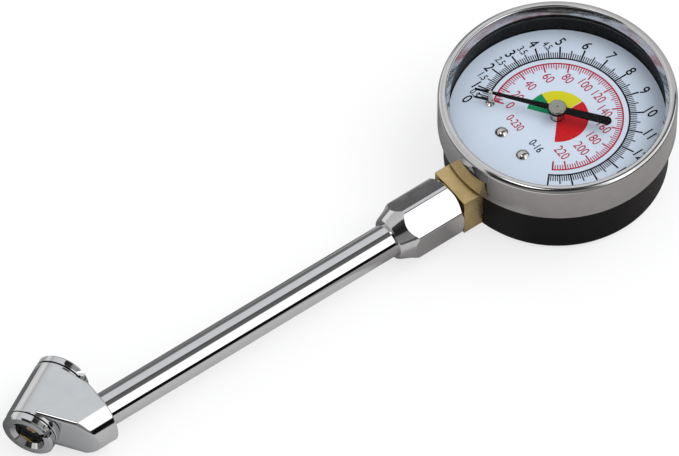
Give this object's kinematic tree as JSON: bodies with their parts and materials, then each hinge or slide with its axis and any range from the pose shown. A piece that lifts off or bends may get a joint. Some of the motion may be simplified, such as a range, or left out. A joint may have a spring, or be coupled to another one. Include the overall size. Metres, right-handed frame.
{
  "type": "tyre pressure gauge with twin push-on connector",
  "caption": "Dial tyre pressure gauge on a straight rigid tube that ends in an angled twin push-on valve connector.",
  "frame": {"origin": "on the dial's axis, at the back face of the case", "axes": "+Z along the dial's normal towards its window; the tube runs along -X to the connector"},
  "size_m": [0.2169, 0.068, 0.0301],
  "materials": {
    "black_case": "semi-gloss black baked enamel on steel",
    "bezel_chrome": "polished steel ring with satin side",
    "gasket_rubber": "matt black rubber",
    "window_glass": "clear flat instrument glass",
    "dial_enamel": "matt pale blue-white enamel with printed scales",
    "nickel": "nickel-plated domed screws",
    "brass": "machined brass",
    "pointer_black": "matt black paint",
    "steel": "plain turned steel",
    "bronze": "drawn phosphor bronze",
    "plug_rubber": "soft black rubber",
    "washer_fibre": "dark fibre sealing washer",
    "chrome": "bright chromium plate",
    "satin_nickel": "satin chrome on a zinc casting",
    "seal_rubber": "black nitrile rubber"
  },
  "bodies": {
    "gauge": {"gauge_case": "black_case", "bezel_ring": "bezel_chrome", "window_gasket": "gasket_rubber", "dial_window": "window_glass", "dial_plate": "dial_enamel", "dial_screws": "nickel", "dial_posts": "brass", "stop_pin": "nickel", "hairspring": "bronze", "hairspring_stud": "brass", "movement_base_plate": "brass", "movement_top_plate": "brass", "movement_pillars": "brass", "pillar_screws": "steel", "movement_screws": "steel", "bourdon_tube": "bronze", "socket_block": "brass", "case_screws": "steel", "blowout_plug": "plug_rubber", "stem_washer": "washer_fibre", "hex_adapter": "chrome", "extension_tube": "chrome", "chuck_body": "satin_nickel", "front_cap_ring": "chrome", "rear_cap_ring": "chrome", "front_seal": "seal_rubber", "rear_seal": "seal_rubber", "front_spring": "steel", "rear_spring": "steel"},
    "pointer": {"pointer": "pointer_black", "pointer_bush": "nickel", "pointer_cap": "nickel", "pinion_arbor": "steel"},
    "sector": {"sector_gear": "brass", "sector_arbor": "steel", "tail_pin": "steel"},
    "bourdon_tip": {"bourdon_tip": "brass", "tip_pin": "steel"},
    "link": {"connecting_link": "brass"},
    "front_depressor": {"front_depressor": "brass"},
    "rear_depressor": {"rear_depressor": "brass"}
  },
  "joints": [
    {"name": "pointer_spin", "type": "hinge", "parent": "gauge", "child": "pointer", "pos_m": [0, 0, 0.0141], "axis": [0, 0, -1], "range_deg": [0, 262], "stiffness_Nm_per_rad": 0.00002, "deforming": ["hairspring"]},
    {"name": "sector_swing", "type": "hinge", "parent": "gauge", "child": "sector", "pos_m": [-0.006, -0.01039, 0.0106], "axis": [0, 0, 1], "range_deg": [0, 37.5]},
    {"name": "bourdon_flex", "type": "hinge", "parent": "gauge", "child": "bourdon_tip", "pos_m": [0.0085, 0.0038, 0.0092], "axis": [0, 0, 1], "range_deg": [0, 8.6], "deforming": ["bourdon_tube"]},
    {"name": "link_swing", "type": "hinge", "parent": "bourdon_tip", "child": "link", "pos_m": [-0.002, -0.021, 0.01175], "axis": [0, 0, -1], "range_deg": [0, 4.7]},
    {"name": "front_depressor_slide", "type": "slide", "parent": "gauge", "child": "front_depressor", "axis": [0.8755, 0.4833, 0], "range_m": [0, 0.0015], "stiffness_N_per_m": 800, "springref_m": -0.002, "deforming": ["front_spring"]},
    {"name": "rear_depressor_slide", "type": "slide", "parent": "gauge", "child": "rear_depressor", "axis": [-0.8755, -0.4833, 0], "range_m": [0, 0.0015], "stiffness_N_per_m": 800, "springref_m": -0.002, "deforming": ["rear_spring"]}
  ],
  "couplings": [
    {"joint": "sector_swing", "follows": "pointer_spin", "ratio": 0.14286},
    {"joint": "bourdon_flex", "follows": "pointer_spin", "ratio": 0.032519},
    {"joint": "link_swing", "follows": "pointer_spin", "ratio": 0.01771}
  ]
}
